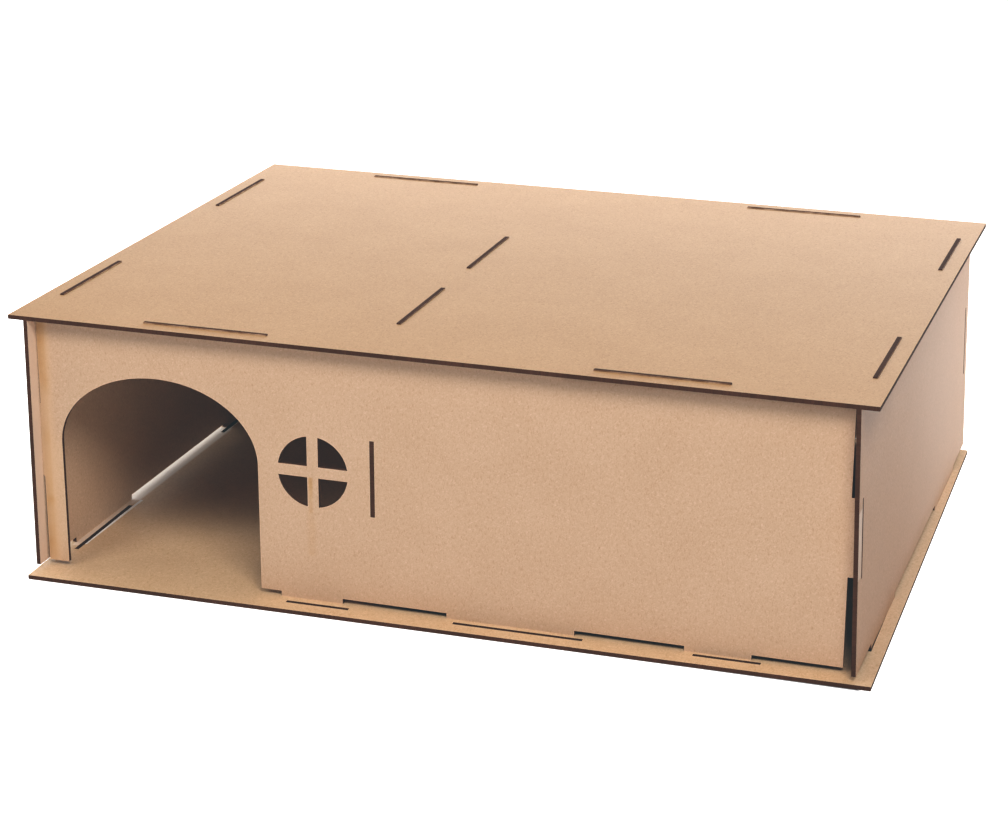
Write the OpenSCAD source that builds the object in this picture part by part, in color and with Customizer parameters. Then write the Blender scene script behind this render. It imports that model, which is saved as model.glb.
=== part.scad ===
// Flat-pack hedgehog house of laser-cut fibreboard. Four walls and a divider carry
// tabs on every edge, which enter slots in the roof, the floor and each other.
// Origin: on the ground under the middle of the roof. +X is right, +Y back, +Z up.

/* [Boards] */
// Thickness of every board
board_t = 3; // [2:0.5:5]
// Width of the roof, left to right
roof_w = 600; // [560:5:700]
// Depth of the roof, the floor and the side walls, front to back
roof_d = 460; // [420:5:540]
// How far each side of the floor stops short of the roof's
floor_trim = 2.5; // [0:0.5:3]
// Height of the walls between their floor tabs and their roof tabs
wall_h = 180; // [150:5:240]
// Distance from the roof's edge to the middle line of its slots
slot_inset = 13; // [9:0.5:25]

/* [Tabs] */
// Length of a full tab along its edge
tab_l = 90; // [50:5:110]
// Length of the short floor tabs of the front wall
short_tab_l = 45; // [25:5:60]
// Height of the tabs on the ends of the walls
end_tab_h = 54; // [30:2:90]
// How far a seated roof or floor tab stands past its slot
tab_proud = 0.8; // [0.2:0.1:2]
// How far an end tab stands past the upright side wall that it enters
end_tab_proud = 1.9; // [0.2:0.1:4]
// How far the divider's tab stops short of the front wall's face
divider_tab_recess = 0.5; // [0:0.1:2]
// Distance from the roof's middle to the tabs of the front and back walls
cross_tab_x = 158.5; // [110:0.5:190]
// Distance from the roof's middle to the tabs of the side walls
side_tab_y = 131; // [80:0.5:145]
// Distance from the doorway to the first floor tab of the front wall
first_tab_margin = 15; // [8:1:40]
// Distance from the last floor tab of the front wall to its right end
last_tab_margin = 60; // [20:1:80]

/* [Clearances] */
// Clearance of a tab in its slot, on each face
slot_clearance = 0.15; // [0.05:0.05:0.4]
// Clearance of a tab in its slot, at each end
slot_end_clearance = 0.25; // [0.15:0.05:1]
// Gap between the left wall and the ends of the front and back walls
left_gap = 0.2; // [0.1:0.1:2]
// Gap between the right wall and the ends of the front and back walls
right_gap = 2.2; // [0.1:0.1:3]
// Gap between the divider and the front wall
divider_gap = 0.3; // [0.1:0.1:2]

/* [Doorway] */
// Width of the doorway
door_w = 148; // [110:2:170]
// Height of the doorway's straight jambs
door_jamb_h = 90; // [60:2:92]
// Rise of the doorway's elliptical arch above its jambs
door_rise = 54; // [30:1:56]
// Width of the leg between the doorway and the wall's left end
door_leg = 15; // [10:1:40]

/* [Window] */
// Diameter of the round window
window_d = 51; // [30:1:60]
// Width of the crossed bars in the window
window_bar = 8; // [4:0.5:14]
// Distance from the doorway to the middle of the window
window_offset = 40; // [32:0.5:50]

/* [Divider] */
// Distance from the doorway to the middle of the divider
divider_offset = 83; // [75:0.5:140]
// Length of the divider, which leaves the way round its back end
divider_l = 335; // [300:5:370]
// Distance from the ends of the divider to its tabs
divider_tab_margin = 50; // [20:1:60]

/* [Stance] */
// Shell pushed home into the floor's slots, instead of standing on its tabs
seated = false;
// How far the floor lies to the right of the shell, while unseated
floor_shift_x = 3.8; // [-10:0.1:10]
// How far the floor lies behind the shell, while unseated
floor_shift_y = -7.8; // [-10:0.1:10]
// Turn of the floor under the shell, while unseated, in degrees
floor_turn = 0.8; // [-2:0.1:2]
// Lean of the left wall, foot outwards, while unseated, in degrees
left_wall_lean = 0.4; // [0:0.1:1.8]
// Lean of the right wall, foot outwards, while unseated, in degrees
right_wall_lean = 1.7; // [0:0.1:1.8]

/* [Hidden] */

roof_colour = "#d2ae86";
floor_colour = "#cda67c";
wall_colour = "#d1a988";
inner_colour = "#b08d70";

// Angle between neighbouring points of the doorway's arch
arch_step = 3;
$fn = 96;

slot_w = board_t + 2 * slot_clearance;
tab_reach = board_t + tab_proud;

// Middle planes of the outer walls, and their faces towards the inside
wall_x = roof_w / 2 - slot_inset;
wall_y = roof_d / 2 - slot_inset;
inner_x = wall_x - board_t / 2;
inner_y = wall_y - board_t / 2;

// The front and back walls end between the side walls
left_end = -inner_x + left_gap;
right_end = inner_x - right_gap;

// What stands beside the doorway is placed from its right jamb
door_left = left_end + door_leg;
door_right = door_left + door_w;
window_x = door_right + window_offset;
divider_x = door_right + divider_offset;
divider_front = -inner_y + divider_gap;
divider_back = divider_front + divider_l;

// The tips of the floor tabs stand on the floor, or pass through it once seated
tip_z = seated ? board_t - tab_reach : board_t;
// Middle of the walls above the tips of their floor tabs
mid_h = tab_reach + wall_h / 2;

// A leaning wall stands on the inner edge of its feet and lifts the roof by its outer top edge
left_lean = seated ? 0 : left_wall_lean;
right_lean = seated ? 0 : right_wall_lean;
function lean_rise(lean) = (tab_reach + wall_h) * (cos(lean) - 1) + board_t * sin(lean);
roof_z = tip_z + tab_reach + wall_h + max(0, lean_rise(left_lean), lean_rise(right_lean));

// Tabs along an edge, each as [middle, length]. Walls and slots share these lists.
cross_tabs = [for (side = [-1, 1]) [side * cross_tab_x, tab_l]];
side_tabs = [for (side = [-1, 1]) [side * side_tab_y, tab_l]];
end_tabs = [[0, end_tab_h]];
first_tab_x = door_right + first_tab_margin + short_tab_l / 2;
last_tab_x = right_end - last_tab_margin - short_tab_l / 2;
front_floor_tabs = [
    [first_tab_x, short_tab_l],
    [(first_tab_x + last_tab_x) / 2, tab_l],
    [last_tab_x, short_tab_l],
];
divider_inset = divider_tab_margin + tab_l / 2;
divider_tabs = [for (y = [divider_front + divider_inset, divider_back - divider_inset]) [y, tab_l]];

// Slots for a row of tabs, along X
module slot_row(tabs) {
    for (tab = tabs)
        translate([tab[0], 0])
            square([tab[1] + 2 * slot_end_clearance, slot_w], center = true);
}

// Roof or floor outline, whose slots take the tabs of the walls
module slotted_board(width, front_tabs) {
    difference() {
        square([width, roof_d], center = true);
        translate([0, -wall_y])
            slot_row(front_tabs);
        translate([0, wall_y])
            slot_row(cross_tabs);
        for (side = [-1, 1])
            translate([side * wall_x, 0])
                rotate(90)
                    slot_row(side_tabs);
        translate([divider_x, 0])
            rotate(90)
                slot_row(divider_tabs);
    }
}

// Tabs of one edge, from their tips at one height to the middle of the wall
module tab_row(tabs, low, high) {
    for (tab = tabs)
        translate([tab[0] - tab[1] / 2, low])
            square([tab[1], high - low]);
}

// Wall outline, with heights from the tips of its floor tabs
module wall_outline(from, to, floor_tabs, roof_tabs) {
    translate([from, tab_reach])
        square([to - from, wall_h]);
    tab_row(floor_tabs, 0, mid_h);
    tab_row(roof_tabs, mid_h, wall_h + 2 * tab_reach);
}

// Tab on the end of a wall, at the middle of its height
module end_tab(from, to) {
    translate([from, mid_h - end_tab_h / 2])
        square([to - from, end_tab_h]);
}

// Upright slot for an end tab
module end_slot(x) {
    translate([x, mid_h])
        rotate(90)
            slot_row(end_tabs);
}

// Front or back wall outline, with tabs through both side walls
module cross_wall_outline(floor_tabs) {
    outer_x = wall_x + board_t / 2 + end_tab_proud;
    wall_outline(left_end, right_end, floor_tabs, cross_tabs);
    end_tab(-outer_x, left_end + door_leg);
    end_tab(right_end - last_tab_margin, outer_x);
}

// Doorway with straight jambs under half an ellipse
module doorway() {
    jamb_top = tab_reach + door_jamb_h;
    arch = [for (a = [0 : arch_step : 180]) [door_w / 2 * cos(a), door_rise * sin(a)]];
    feet = [[-door_w / 2, -jamb_top], [door_w / 2, -jamb_top]];
    translate([door_left + door_w / 2, jamb_top])
        polygon(concat(arch, feet));
}

// Four panes between the crossed bars
module window() {
    translate([window_x, mid_h])
        difference() {
            circle(d = window_d);
            for (turn = [0, 90])
                rotate(turn)
                    square([2 * window_d, window_bar], center = true);
        }
}

// Stand an outline up across the house, or along its depth
module across() {
    rotate([90, 0, 0])
        linear_extrude(board_t, center = true)
            children();
}

module along() {
    rotate([90, 0, 90])
        linear_extrude(board_t, center = true)
            children();
}

// Side wall on the left (-1) or right (1). Its foot moves out as it leans, so that its middle
// plane still meets the middle of the roof's slots.
module side_wall(side, lean) {
    foot_z = tip_z + board_t / 2 * sin(lean);
    foot_x = wall_x + (roof_z + board_t / 2 - foot_z) * tan(lean);
    translate([side * foot_x, 0, foot_z])
        rotate([0, -side * lean, 0])
            along()
                difference() {
                    wall_outline(-roof_d / 2, roof_d / 2, side_tabs, side_tabs);
                    for (end = [-1, 1])
                        end_slot(end * wall_y);
                }
}

module floor_panel() {
    shift = seated ? [0, 0] : [floor_shift_x, floor_shift_y];
    color(floor_colour)
        translate(shift)
            rotate(seated ? 0 : floor_turn)
                linear_extrude(board_t)
                    slotted_board(roof_w - 2 * floor_trim, front_floor_tabs);
}

module roof_panel() {
    color(roof_colour)
        translate([0, 0, roof_z])
            linear_extrude(board_t)
                slotted_board(roof_w, cross_tabs);
}

module front_wall() {
    color(wall_colour)
        translate([0, -wall_y, tip_z])
            across()
                difference() {
                    cross_wall_outline(front_floor_tabs);
                    doorway();
                    window();
                    end_slot(divider_x);
                }
}

module back_wall() {
    color(wall_colour)
        translate([0, wall_y, tip_z])
            across()
                cross_wall_outline(cross_tabs);
}

module left_wall() {
    color(wall_colour)
        side_wall(-1, left_lean);
}

module right_wall() {
    color(wall_colour)
        side_wall(1, right_lean);
}

module divider_wall() {
    tab_end = -wall_y - board_t / 2 + divider_tab_recess;
    color(inner_colour)
        translate([divider_x, 0, tip_z])
            along() {
                wall_outline(divider_front, divider_back, divider_tabs, divider_tabs);
                end_tab(tab_end, divider_front + divider_tab_margin);
            }
}

floor_panel();
front_wall();
back_wall();
left_wall();
right_wall();
divider_wall();
roof_panel();
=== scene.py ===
"""Looks of a flat-pack hedgehog house: laser-cut fibreboard on a plain studio stage."""

import math
from typing import NamedTuple

import bpy
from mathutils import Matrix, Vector


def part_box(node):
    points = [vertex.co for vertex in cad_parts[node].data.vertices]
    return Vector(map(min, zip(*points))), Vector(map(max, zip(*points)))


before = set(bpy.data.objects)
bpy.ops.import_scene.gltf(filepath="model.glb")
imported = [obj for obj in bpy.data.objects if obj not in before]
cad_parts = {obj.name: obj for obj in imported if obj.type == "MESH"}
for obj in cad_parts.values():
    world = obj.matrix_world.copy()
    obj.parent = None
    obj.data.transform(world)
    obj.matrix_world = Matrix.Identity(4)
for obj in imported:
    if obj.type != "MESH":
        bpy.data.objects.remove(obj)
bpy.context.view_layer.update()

bl_info = {
    "name": "Hedgehog House Looks",
    "version": (1, 0, 0),
    "blender": (4, 5, 0),
    "location": "3D View > Sidebar > House",
    "description": "Laser-cut fibreboard finish and a studio stage for a hedgehog house",
    "category": "Material",
}

MM = 0.001

# Index of the axis that a board's faces look along
X_AXIS, Y_AXIS, Z_AXIS = 0, 1, 2

# Value of a face: its base, and what the clouds and the grains add to it
BASE_VALUE = 0.81
CLOUD_SHARE = 0.14
GRAIN_SHARE = 0.24
# Layers of fibres: the direction of each in degrees, and what it adds to the value
FIBRE_LAYERS = ((15, 0.16), (75, -0.18), (135, 0.16), (105, -0.16))
# Noise at which a fibre starts to show and shows in full
FIBRE_START, FIBRE_FULL = 0.55, 0.75
# How far red, green and blue follow the value, so that the dark parts of a board are warmer
SWING = (0.8, 1.13, 1.65)

# Agreement of the rounded normal with the true one at which a rim starts and is full
RIM_START, RIM_FULL = 0.99, 0.8
RIM_GAIN = 1.3

# A surface that turns about 45 degrees or more from the board's own axis is a cut edge
EDGE_LIMIT = 0.7
# Noise at which a charred edge starts to be paler and is palest
STREAK_START, STREAK_FULL = 0.15, 0.4

# Shader values of the pressed face and of the charred edge; soot is porous and hardly shines
FACE_ROUGHNESS, CHAR_ROUGHNESS = 0.52, 0.75
FACE_SHINE, CHAR_SHINE = 0.5, 0.05
BOARD_IOR = 1.5
BUMP_STRENGTH = 0.35

# Noise at which a patch of a mark starts and is full, and the share that shows between patches
PATCH_START, PATCH_FULL = 0.32, 0.62
PATCH_LEAST = 0.25
# Patches wider than the house, in mm, leave a mark even
EVEN = 2000

# Radius of the paper, and the stretch behind the house's middle where its glow grows, in metres
PAPER_RADIUS = 14
GLOW_START, GLOW_FULL = 0.1, 1.0
# Drop of the paper under the house, and how far inside the floor panel's rim its painted shade
# starts and is darkest, in mm
PAPER_DROP = 0.5
SHADE_START, SHADE_FULL = 6, 9
# Width of the paper along the floor panel's left side that the painted shade leaves lit, in mm
LEFT_LIT = 40


def linear(hex_colour):
    """Linear colour of an sRGB hex value."""
    parts = [int(hex_colour[i : i + 2], 16) / 255 for i in (1, 3, 5)]
    return tuple(p / 12.92 if p <= 0.04045 else ((p + 0.055) / 1.055) ** 2.4 for p in parts)


def colour_property(name, description, hex_colour):
    return bpy.props.FloatVectorProperty(
        name=name, description=description, subtype="COLOR", size=3, min=0, max=1,
        default=linear(hex_colour),
    )


def length_property(name, description, millimetres):
    return bpy.props.FloatProperty(
        name=name, description=description, default=millimetres * MM, min=0,
        unit="LENGTH", precision=4,
    )


def power_property(name, description, watts):
    return bpy.props.FloatProperty(
        name=name, description=description, default=watts, min=0, unit="POWER")


class HouseBoardLook(bpy.types.PropertyGroup):
    """Colours and sizes of the fibreboard finish."""

    roof_face: colour_property("Roof face", "Raw face of the roof panel", "#be9467")
    floor_face: colour_property("Floor face", "Raw face of the floor panel", "#ceaa82")
    front_face: colour_property("Front face", "Raw face of the front and back walls", "#c3a182")
    # Painted light: the inside of the left wall is paler than the other boards, where light comes in through
    # the doorway
    left_lit_face: colour_property("Left face", "Inside of the left wall, paler as painted light", "#dab592")
    # Painted shade: darkens the outside of the left wall
    left_painted_shade: colour_property("Left painted shade", "Painted shade on the outside of the left wall", "#e4e3e4")
    # Painted shade: the right wall's face is darker than the front wall's, for the wall turned from the light
    right_shaded_face: colour_property("Right face", "Face of the right wall, darker as painted shade", "#bf936f")
    # Painted shade: the divider's face is darker, for the dim inside of the house
    inner_shaded_face: colour_property("Inner face", "Face of the divider, darker as painted shade", "#b08d6c")
    char: colour_property("Char", "Darkest part of a laser-cut edge", "#3c1e0a")
    char_pale: colour_property("Pale char", "Paler streaks of a laser-cut edge", "#502e1d")
    resin_stain: colour_property("Resin stain", "Tint of the yellow stain beside a cut", "#f0ddad")
    # Brown smoke stain on the tab tips, and painted shade under the roof's overhang
    smoke_and_shade: colour_property("Smoke stain", "Tint of the laser's brown smoke stain, and painted shade under the roof", "#9a7e52")
    # Painted light on the leg beside the doorway
    painted_light_patch: colour_property("Painted light patch", "Painted light on the strip of board beside the doorway", "#d9b48b")
    # Pale tint: painted light by the left wall's foot and on its lip, painted sheen at the right wall's back,
    # and a paler right lip
    pale_tint: colour_property("Pale tint", "Pale tint: painted light and sheen on the boards, and a paler right lip", "#e6cdb8")
    # Painted light, nearly white, where light comes up through the floor's left slots and in under the left
    # wall
    painted_glint: colour_property("Painted glint", "Painted light, nearly white, at the floor's left slots", "#f8f2ea")
    grain_size: length_property("Grain size", "Size of the ground wood grains", 1.2)
    fibre_length: length_property("Fibre length", "Length of the single fibres", 3.0)
    fibre_width: length_property("Fibre width", "Width of the single fibres", 0.85)
    relief: length_property("Relief", "Height of the grains and fibres", 0.12)
    mottle_size: length_property("Mottle size", "Size of the cloudy patches", 45.0)
    rim_width: length_property("Rim width", "Width of the pale rim along a cut", 1.2)
    streak_width: length_property("Streak width", "Width of the streaks on a cut edge", 0.9)
    streak_length: length_property("Streak length", "Length of the streaks on a cut edge", 40.0)


class HouseStageLook(bpy.types.PropertyGroup):
    """Floor, lights and camera of the studio stage."""

    floor_colour: colour_property("Floor", "Colour of the paper on the floor", "#f4f4f4")
    floor_glow: bpy.props.FloatProperty(
        name="Floor glow", description="Light of the lit paper behind the house", default=0.11, min=0)
    floor_white: bpy.props.FloatProperty(
        name="Floor white", description="How much whiter the paper looks than it lights",
        default=1.0, min=0)
    key_power: power_property("Key", "Softbox at the front right", 43.0)
    fill_power: power_property("Fill", "Softbox at the front left", 21.8)
    left_power: power_property("Left", "White wall on the left", 26.7)
    foot_power: power_property("Foot", "Low strip that shines in under the left wall", 0.6)
    back_power: power_property("Backdrop", "Strip behind the roof", 2.6)
    low_power: power_property("Low backdrop", "Thin strip behind the roof, near its level", 0.7)
    high_power: power_property("High backdrop", "Panel high behind the right wall", 6.27)
    rear_power: power_property("Rear", "Small panel behind the right wall", 0.98)
    veil: bpy.props.FloatVectorProperty(
        name="Veil", description="Stray light in the lens, as a share of white", subtype="COLOR",
        default=(0.024, 0.032, 0.036), min=0, max=1)
    contrast: bpy.props.FloatProperty(
        name="Contrast", description="Display gamma", default=0.87, min=0.1)
    camera_place: bpy.props.FloatVectorProperty(
        name="Camera", description="Place of the camera", subtype="XYZ", unit="LENGTH",
        default=(0.53357, -1.67785, 0.69174))
    camera_turn: bpy.props.FloatVectorProperty(
        name="Camera turn", description="Rotation of the camera", subtype="EULER",
        default=tuple(math.radians(a) for a in (70.5752, -0.1638, 18.2681)))
    camera_lens: bpy.props.FloatProperty(
        name="Focal length", description="Millimetres on a sensor 36 mm wide", default=89.36, min=1)


class StainOrPaintedLight(NamedTuple):
    """Mark on a board, real stain and painted light and shade alike: a box in the house's frame, in mm, that
    fades out beyond its sides.

    The tint is laid on by a blend mode. The box lies about its middle and reaches as far to
    each side. Its edge is soft over a width, and clouds of a patch size break it up.
    """

    tint: tuple
    blend: str
    middle: tuple
    reach: tuple
    soft: float
    strength: float
    patch: float = EVEN


def add_node(tree, kind, inputs=None, **settings):
    """New node with its settings; inputs are values, or sockets to link."""
    node = tree.nodes.new(kind)
    for name, value in settings.items():
        setattr(node, name, value)
    for socket, value in (inputs or {}).items():
        if isinstance(value, bpy.types.NodeSocket):
            tree.links.new(value, node.inputs[socket])
        else:
            node.inputs[socket].default_value = value
    return node


def fibre_layer(tree, place, axis, turn):
    """Noise drawn out along one direction in the board's plane, as a lying fibre is."""
    look = bpy.context.scene.house_board
    rotation = [0, 0, 0]
    rotation[axis] = math.radians(turn)
    size = [look.fibre_length, look.fibre_width, look.fibre_width]
    if axis == X_AXIS:
        size = [look.fibre_width, look.fibre_length, look.fibre_width]
    lying = add_node(tree, "ShaderNodeMapping",
                     {"Vector": place, "Rotation": rotation, "Scale": size}, vector_type="TEXTURE")
    return add_node(tree, "ShaderNodeTexNoise",
                    {"Vector": lying.outputs[0], "Scale": 1.0, "Detail": 1.5}).outputs["Fac"]


def tinted(tree, place, colour, stain):
    """Colour of a board under one of its marks, real stain and painted light and shade alike."""
    offset = add_node(tree, "ShaderNodeVectorMath",
                      {0: place, 1: [v * MM for v in stain.middle]}, operation="SUBTRACT").outputs[0]
    offset = add_node(tree, "ShaderNodeVectorMath", {0: offset}, operation="ABSOLUTE").outputs[0]
    beyond = add_node(tree, "ShaderNodeVectorMath",
                      {0: offset, 1: [v * MM for v in stain.reach]}, operation="SUBTRACT").outputs[0]
    beyond = add_node(tree, "ShaderNodeVectorMath",
                      {0: beyond, 1: (0, 0, 0)}, operation="MAXIMUM").outputs[0]
    beyond = add_node(tree, "ShaderNodeVectorMath", {0: beyond}, operation="LENGTH").outputs["Value"]
    inside = add_node(tree, "ShaderNodeMapRange",
                      {"Value": beyond, "From Max": stain.soft * MM,
                       "To Min": stain.strength, "To Max": 0.0},
                      interpolation_type="SMOOTHSTEP").outputs["Result"]
    cloud = add_node(tree, "ShaderNodeTexNoise",
                     {"Vector": place, "Scale": 1 / (stain.patch * MM), "Detail": 2}).outputs["Fac"]
    cloud = add_node(tree, "ShaderNodeMapRange",
                     {"Value": cloud, "From Min": PATCH_START, "From Max": PATCH_FULL,
                      "To Min": PATCH_LEAST}).outputs["Result"]
    amount = add_node(tree, "ShaderNodeMath", {0: inside, 1: cloud}, operation="MULTIPLY").outputs[0]
    return add_node(tree, "ShaderNodeMix", {0: amount, 6: colour, 7: (*stain.tint, 1)},
                    data_type="RGBA", blend_type=stain.blend).outputs[2]


def laser_cut_mdf(name, axis, face, marks):
    """Raw medium-density fibreboard, cut by laser.

    The pressed face is matt tan, clouded, and full of short fibres lying every way. The cut
    edges are charred plum-brown with fine streaks across the board, and leave a thin pale rim
    on the face. Smoke turns it brown and resin yellow, and pale and dark marks paint light and shade on it.
    Real grains and fibres are about 0.1 mm thick, too fine to show, so they are drawn coarser.
    """
    look = bpy.context.scene.house_board
    material = bpy.data.materials.new(name)
    material.use_nodes = True
    tree = material.node_tree
    tree.nodes.clear()
    place = add_node(tree, "ShaderNodeTexCoord").outputs["Object"]
    normal = add_node(tree, "ShaderNodeNewGeometry").outputs["True Normal"]

    # Face: clouds, grains, and dark and light fibres as shares of the colour's value
    cloud = add_node(tree, "ShaderNodeTexNoise",
                     {"Vector": place, "Scale": 1 / look.mottle_size, "Detail": 5}).outputs["Fac"]
    grain = add_node(tree, "ShaderNodeTexNoise",
                     {"Vector": place, "Scale": 1 / look.grain_size, "Detail": 2}).outputs["Fac"]
    value = add_node(tree, "ShaderNodeMath", {0: cloud, 1: CLOUD_SHARE, 2: BASE_VALUE},
                     operation="MULTIPLY_ADD").outputs[0]
    value = add_node(tree, "ShaderNodeMath", {0: grain, 1: GRAIN_SHARE, 2: value},
                     operation="MULTIPLY_ADD").outputs[0]
    for turn, share in FIBRE_LAYERS:
        fibre = fibre_layer(tree, place, axis, turn)
        fibre = add_node(tree, "ShaderNodeMapRange",
                         {"Value": fibre, "From Min": FIBRE_START, "From Max": FIBRE_FULL,
                          "To Max": share}).outputs["Result"]
        value = add_node(tree, "ShaderNodeMath", {0: value, 1: fibre}, operation="ADD").outputs[0]
    swing = add_node(tree, "ShaderNodeVectorMath", {0: value, 1: SWING, 2: [1 - s for s in SWING]},
                     operation="MULTIPLY_ADD").outputs[0]
    colour = add_node(tree, "ShaderNodeMix", {0: 1.0, 6: (*face, 1), 7: swing},
                      data_type="RGBA", blend_type="MULTIPLY").outputs[2]
    for stain in marks:
        colour = tinted(tree, place, colour, stain)

    # Pale rim, where the rounded normal leaves the true one
    rounded = add_node(tree, "ShaderNodeBevel", {"Radius": look.rim_width}, samples=6).outputs[0]
    rim = add_node(tree, "ShaderNodeVectorMath", {0: rounded, 1: normal},
                   operation="DOT_PRODUCT").outputs["Value"]
    rim = add_node(tree, "ShaderNodeMapRange",
                   {"Value": rim, "From Min": RIM_START, "From Max": RIM_FULL,
                    "To Min": 1.0, "To Max": RIM_GAIN}).outputs["Result"]
    colour = add_node(tree, "ShaderNodeMix", {0: 1.0, 6: colour, 7: rim},
                      data_type="RGBA", blend_type="MULTIPLY").outputs[2]

    # Charred edge: streaks across the board's thickness, in longer paler and darker runs
    streak_size = [look.streak_width] * 3
    streak_size[axis] = look.streak_length
    streak = add_node(tree, "ShaderNodeMapping",
                      {"Vector": place, "Scale": streak_size}, vector_type="TEXTURE").outputs[0]
    streak = add_node(tree, "ShaderNodeTexNoise", {"Vector": streak, "Scale": 1.0}).outputs["Fac"]
    streak = add_node(tree, "ShaderNodeMath", {0: streak, 1: cloud}, operation="MULTIPLY").outputs[0]
    streak = add_node(tree, "ShaderNodeMapRange",
                      {"Value": streak, "From Min": STREAK_START,
                       "From Max": STREAK_FULL}).outputs["Result"]
    charred = add_node(tree, "ShaderNodeMix",
                       {0: streak, 6: (*look.char, 1), 7: (*look.char_pale, 1)},
                       data_type="RGBA").outputs[2]

    # A surface that looks across the board's plane is a cut edge
    across = add_node(tree, "ShaderNodeSeparateXYZ", {0: normal}).outputs[axis]
    across = add_node(tree, "ShaderNodeMath", {0: across}, operation="ABSOLUTE").outputs[0]
    edge = add_node(tree, "ShaderNodeMath", {0: across, 1: EDGE_LIMIT}, operation="LESS_THAN").outputs[0]
    colour = add_node(tree, "ShaderNodeMix", {0: edge, 6: colour, 7: charred},
                      data_type="RGBA").outputs[2]
    roughness = add_node(tree, "ShaderNodeMapRange",
                         {"Value": edge, "To Min": FACE_ROUGHNESS,
                          "To Max": CHAR_ROUGHNESS}).outputs["Result"]
    shine = add_node(tree, "ShaderNodeMapRange",
                     {"Value": edge, "To Min": FACE_SHINE, "To Max": CHAR_SHINE}).outputs["Result"]
    bump = add_node(tree, "ShaderNodeBump",
                    {"Height": value, "Strength": BUMP_STRENGTH, "Distance": look.relief}).outputs[0]
    shader = add_node(tree, "ShaderNodeBsdfPrincipled",
                      {"Base Color": colour, "Roughness": roughness, "Normal": bump,
                       "IOR": BOARD_IOR, "Specular IOR Level": shine})
    add_node(tree, "ShaderNodeOutputMaterial", {"Surface": shader.outputs["BSDF"]})
    return material


def smoked_tips():
    """Brown smoke stain on the tips of the roof tabs, which stand in their slots' smoke as they are cut."""
    look = bpy.context.scene.house_board
    return StainOrPaintedLight(look.smoke_and_shade, "MULTIPLY", (0, 0, 192), (400, 400, 4.4), 0.7, 1.0, 8)


def dress(node, material):
    """Give a board its one material."""
    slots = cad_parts[node].data.materials
    slots.clear()
    slots.append(material)


class HOUSE_OT_roof(bpy.types.Operator):
    """Finish the roof panel"""

    bl_idname = "house.roof"
    bl_label = "Roof Panel"

    def execute(self, context):
        look = context.scene.house_board
        marks = [
            # Resin between the front slots and the front edge
            StainOrPaintedLight(look.resin_stain, "MULTIPLY", (-158.5, -223.5, 190), (44, 3, 3), 3, 0.45, 15),
            StainOrPaintedLight(look.resin_stain, "MULTIPLY", (158.5, -223.5, 190), (44, 3, 3), 3, 0.6, 15),
        ]
        dress("roof_panel", laser_cut_mdf("laser-cut MDF, roof", Z_AXIS, look.roof_face, marks))
        return {"FINISHED"}


class HOUSE_OT_floor(bpy.types.Operator):
    """Finish the floor panel"""

    bl_idname = "house.floor"
    bl_label = "Floor Panel"

    def execute(self, context):
        look = context.scene.house_board
        marks = [
            # Painted light on the floor along the left wall's foot, where light shines in under the wall
            StainOrPaintedLight(look.pale_tint, "MIX", (-285, -131, 3), (1.6, 50, 2), 1.5, 0.9),
            # Painted light, nearly white, beside the two slots on the left and between them, where light
            # comes up through the slots and in under the left wall
            StainOrPaintedLight(look.painted_glint, "MIX", (-279.2, -131, 3), (0.9, 46, 2), 0.5, 1.4),
            StainOrPaintedLight(look.painted_glint, "MIX", (-282.9, 131, 3), (0.9, 46, 2), 0.5, 1.4),
            StainOrPaintedLight(look.painted_glint, "MIX", (-287, 0, 3), (5, 84, 2), 3, 0.9),
        ]
        dress("floor_panel", laser_cut_mdf("laser-cut MDF, floor", Z_AXIS, look.floor_face, marks))
        return {"FINISHED"}


class HOUSE_OT_cross_walls(bpy.types.Operator):
    """Finish the front and back walls"""

    bl_idname = "house.cross_walls"
    bl_label = "Front and Back Walls"

    def execute(self, context):
        look = context.scene.house_board
        tips = smoked_tips()
        marks = [
            tips,
            # Painted light on the leg between the doorway and the left corner, with resin along the corner
            StainOrPaintedLight(look.painted_light_patch, "MIX", (-283, -219, 97), (1.5, 2, 92), 9, 0.75),
            StainOrPaintedLight(look.painted_light_patch, "MIX", (-277, -219, 45), (6, 2, 40), 25, 0.35),
            StainOrPaintedLight(look.resin_stain, "MULTIPLY", (-282.2, -219, 97), (1.5, 2, 90), 2.2, 0.45, 30),
            StainOrPaintedLight(look.resin_stain, "MULTIPLY", (-282.2, -219, 156), (1.0, 2, 24), 6, 0.6, 30),
            StainOrPaintedLight(look.resin_stain, "MULTIPLY", (-282.2, -219, 32), (1.0, 2, 20), 6, 0.6, 30),
            # Painted shade of the roof's overhang along the top edge, under the right half of the roof
            StainOrPaintedLight(look.smoke_and_shade, "MULTIPLY", (190, -219, 186), (95, 2, 2), 5, 0.6),
            # Resin on the window's upright bar and under it
            StainOrPaintedLight(look.resin_stain, "MULTIPLY", (-84, -219, 80), (0.6, 2, 12), 1.6, 0.9, 20),
            StainOrPaintedLight(look.resin_stain, "MULTIPLY", (-84, -219, 52), (0.8, 2, 14), 4, 0.35, 20),
        ]
        dress("front_wall", laser_cut_mdf("laser-cut MDF, front wall", Y_AXIS, look.front_face, marks))
        dress("back_wall", laser_cut_mdf("laser-cut MDF, back wall", Y_AXIS, look.front_face, [tips]))
        return {"FINISHED"}


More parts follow.
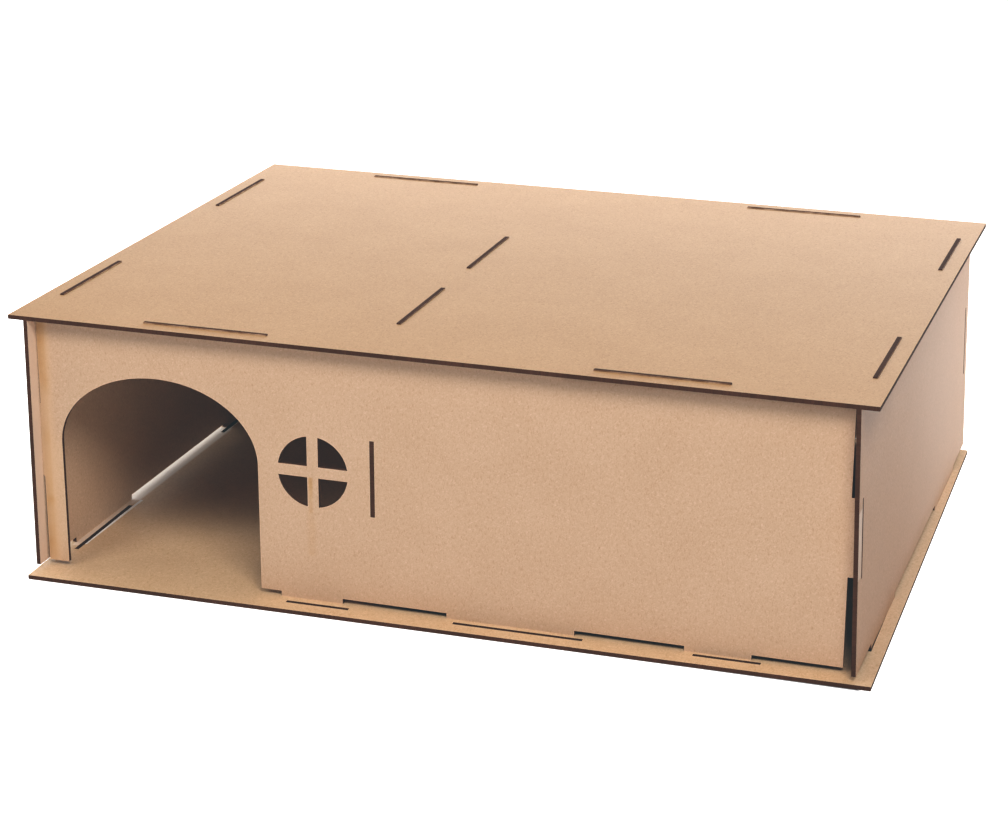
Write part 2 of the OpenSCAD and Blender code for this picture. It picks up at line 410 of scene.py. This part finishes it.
class HOUSE_OT_side_walls(bpy.types.Operator):
    """Finish the left and right walls"""

    bl_idname = "house.side_walls"
    bl_label = "Side Walls"

    def execute(self, context):
        look = context.scene.house_board
        tips = smoked_tips()
        left_marks = [
            tips,
            # Painted shade on the darker outside
            StainOrPaintedLight(look.left_painted_shade, "MULTIPLY", (-294, 0, 97), (6, 240, 100), 0.8, 1.4),
            # Painted light on the lip in front of the front wall
            StainOrPaintedLight(look.pale_tint, "MIX", (-284.5, -225, 95), (2.5, 4.5, 92), 2, 1.0),
        ]
        right_marks = [
            tips,
            # Painted shade of the roof's overhang at the top of the front corner
            StainOrPaintedLight(look.smoke_and_shade, "MULTIPLY", (290, -190, 186), (6, 50, 4), 45, 0.4),
            # Paler strip on the lip beside the front wall's end tab
            StainOrPaintedLight(look.pale_tint, "MIX", (290.5, -224.5, 95), (4, 4.5, 22), 2, 0.7, 60),
            # Painted sheen: the board grows paler towards the low back corner
            StainOrPaintedLight(look.pale_tint, "MIX", (293, 190, 45), (6, 40, 40), 260, 0.6),
            # Resin along the foot
            StainOrPaintedLight(look.resin_stain, "MULTIPLY", (293, -40, 8), (4, 190, 2), 14, 0.3, 25),
        ]
        dress("left_wall", laser_cut_mdf("laser-cut MDF, left wall", X_AXIS, look.left_lit_face, left_marks))
        dress("right_wall", laser_cut_mdf("laser-cut MDF, right wall", X_AXIS, look.right_shaded_face, right_marks))
        return {"FINISHED"}


class HOUSE_OT_divider(bpy.types.Operator):
    """Finish the divider inside"""

    bl_idname = "house.divider"
    bl_label = "Divider"

    def execute(self, context):
        look = context.scene.house_board
        marks = [smoked_tips()]
        dress("divider_wall", laser_cut_mdf("laser-cut MDF, divider", X_AXIS, look.inner_shaded_face, marks))
        return {"FINISHED"}


def white_paper(look):
    """Matt white paper sweep, which the eye takes for a plain white ground.

    It glows from behind the house on, and is painted black under the house, as painted shade where no light
    reaches it.
    """
    paper = bpy.data.materials.new("white paper sweep")
    paper.use_nodes = True
    tree = paper.node_tree
    tree.nodes.clear()
    place = add_node(tree, "ShaderNodeTexCoord").outputs["Object"]
    depth = add_node(tree, "ShaderNodeSeparateXYZ", {0: place}).outputs["Y"]
    glow = add_node(tree, "ShaderNodeMapRange",
                    {"Value": depth, "From Min": GLOW_START, "From Max": GLOW_FULL,
                     "To Max": look.floor_glow},
                    interpolation_type="SMOOTHSTEP").outputs["Result"]
    seen = add_node(tree, "ShaderNodeLightPath").outputs["Is Camera Ray"]
    glow = add_node(tree, "ShaderNodeMath", {0: seen, 1: look.floor_white, 2: glow},
                    operation="MULTIPLY_ADD").outputs[0]

    # Distance beyond the floor panel's rim, less than 0 under the panel
    low, high = (Vector(corner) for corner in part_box("floor_panel"))
    # The painted shade leaves out the left side, where light still reaches the paper through the slots
    low.x += LEFT_LIT * MM
    beyond = add_node(tree, "ShaderNodeVectorMath",
                      {0: place, 1: (low + high) / 2}, operation="SUBTRACT").outputs[0]
    beyond = add_node(tree, "ShaderNodeVectorMath", {0: beyond}, operation="ABSOLUTE").outputs[0]
    beyond = add_node(tree, "ShaderNodeVectorMath",
                      {0: beyond, 1: (high - low) / 2}, operation="SUBTRACT").outputs[0]
    beyond = add_node(tree, "ShaderNodeSeparateXYZ", {0: beyond})
    beyond = add_node(tree, "ShaderNodeMath",
                      {0: beyond.outputs["X"], 1: beyond.outputs["Y"]}, operation="MAXIMUM").outputs[0]
    # Painted shade: under the floor panel the paper is black and has no glow, so it bounces no light
    open_paper = add_node(tree, "ShaderNodeMapRange",
                          {"Value": beyond, "From Min": -SHADE_FULL * MM,
                           "From Max": -SHADE_START * MM}).outputs["Result"]
    glow = add_node(tree, "ShaderNodeMath", {0: glow, 1: open_paper}, operation="MULTIPLY").outputs[0]
    colour = add_node(tree, "ShaderNodeMix",
                      {0: open_paper, 6: (0, 0, 0, 1), 7: (*look.floor_colour, 1)},
                      data_type="RGBA").outputs[2]
    shader = add_node(tree, "ShaderNodeBsdfPrincipled",
                      {"Base Color": colour, "Roughness": 0.9,
                       "Emission Color": (1, 1, 1, 1), "Emission Strength": glow})
    add_node(tree, "ShaderNodeOutputMaterial", {"Surface": shader.outputs["BSDF"]})
    return paper


def white_surround():
    """World that is white beyond the paper's rim, but gives no light of its own."""
    world = bpy.data.worlds.new("studio")
    world.use_nodes = True
    tree = world.node_tree
    tree.nodes.clear()
    seen = add_node(tree, "ShaderNodeLightPath").outputs["Is Camera Ray"]
    sky = add_node(tree, "ShaderNodeBackground", {"Color": (1, 1, 1, 1), "Strength": seen}).outputs[0]
    add_node(tree, "ShaderNodeOutputWorld", {"Surface": sky})
    return world


class HOUSE_OT_stage(bpy.types.Operator):
    """Lay the floor, set the lights and place the camera"""

    bl_idname = "house.stage"
    bl_label = "Studio Stage"

    def execute(self, context):
        scene = context.scene
        look = scene.house_stage
        view = scene.view_settings
        view.view_transform = "Standard"
        view.gamma = look.contrast
        view.use_curve_mapping = True
        view.curve_mapping.black_level = [-share for share in look.veil]
        view.curve_mapping.update()

        bpy.ops.mesh.primitive_circle_add(
            vertices=96, radius=PAPER_RADIUS, fill_type="NGON", location=(0, 0, -PAPER_DROP * MM))
        floor = context.object
        floor.name = "studio_floor"
        floor.data.materials.append(white_paper(look))
        scene.world = white_surround()

        # Name, power, width and height, place, and the point that each looks at, in metres
        for name, power, size, place, aim in (
            ("key_softbox", look.key_power, (0.9, 0.9), (0.899, -1.557, 1.837), (0, 0, 0.1)),
            ("fill_softbox", look.fill_power, (1.0, 1.0), (-0.958, -1.659, 1.707), (0, 0, 0.1)),
            ("left_wall_bounce", look.left_power, (2.0, 1.2), (-1.8, 0, 0.9), (0, 0, 0.5)),
            ("foot_strip", look.foot_power, (0.6, 0.03), (-0.45, 0, 0.02), (-0.25, 0, 0.01)),
            ("back_strip", look.back_power, (1.3, 0.3), (-0.15, 0.62, 0.42), (-0.15, 0.2, 0.19)),
            ("low_strip", look.low_power, (1.1, 0.15), (-0.25, 0.5, 0.29), (-0.25, 0.1, 0.19)),
            ("high_panel", look.high_power, (0.6, 0.6), (0.6, 1.5, 0.7), (0.29, 0, 0.09)),
            ("rear_panel", look.rear_power, (0.3, 0.3), (0.6, 0.5, 0.2), (0.29, 0.22, 0.1)),
        ):
            light = bpy.data.lights.new(name, "AREA")
            light.shape = "RECTANGLE"
            light.size, light.size_y = size
            light.energy = power
            lamp = bpy.data.objects.new(name, light)
            scene.collection.objects.link(lamp)
            lamp.location = place
            lamp.rotation_euler = (Vector(place) - Vector(aim)).to_track_quat("Z", "Y").to_euler()
            lamp.visible_camera = False

        # The foot strip lights the floor panel alone, so that it doesn't bleach the left wall
        lit_by_foot = bpy.data.collections.new("lit_by_foot_strip")
        lit_by_foot.objects.link(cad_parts["floor_panel"])
        bpy.data.objects["foot_strip"].light_linking.receiver_collection = lit_by_foot

        camera = bpy.data.objects.new("photo_camera", bpy.data.cameras.new("photo_camera"))
        scene.collection.objects.link(camera)
        camera.location = look.camera_place
        camera.rotation_euler = look.camera_turn
        camera.data.sensor_width = 36
        camera.data.lens = look.camera_lens
        camera.data.clip_end = 100
        scene.camera = camera
        return {"FINISHED"}


class HOUSE_PT_looks(bpy.types.Panel):
    """Buttons for the pieces and the stage, with their settings"""

    bl_idname = "HOUSE_PT_looks"
    bl_label = "Hedgehog House"
    bl_space_type = "VIEW_3D"
    bl_region_type = "UI"
    bl_category = "House"

    def draw(self, context):
        for operator in OPERATORS:
            self.layout.operator(operator.bl_idname)
        for group in (context.scene.house_board, context.scene.house_stage):
            for name in group.__annotations__:
                self.layout.prop(group, name)


OPERATORS = (HOUSE_OT_roof, HOUSE_OT_floor, HOUSE_OT_cross_walls, HOUSE_OT_side_walls,
             HOUSE_OT_divider, HOUSE_OT_stage)
CLASSES = (HouseBoardLook, HouseStageLook, *OPERATORS, HOUSE_PT_looks)


def register():
    for cls in CLASSES:
        bpy.utils.register_class(cls)
    bpy.types.Scene.house_board = bpy.props.PointerProperty(type=HouseBoardLook)
    bpy.types.Scene.house_stage = bpy.props.PointerProperty(type=HouseStageLook)


def unregister():
    del bpy.types.Scene.house_stage
    del bpy.types.Scene.house_board
    for cls in reversed(CLASSES):
        bpy.utils.unregister_class(cls)


def main():
    register()
    bpy.ops.house.roof()
    bpy.ops.house.floor()
    bpy.ops.house.cross_walls()
    bpy.ops.house.side_walls()
    bpy.ops.house.divider()
    bpy.ops.house.stage()


if __name__ == "__main__":
    main()
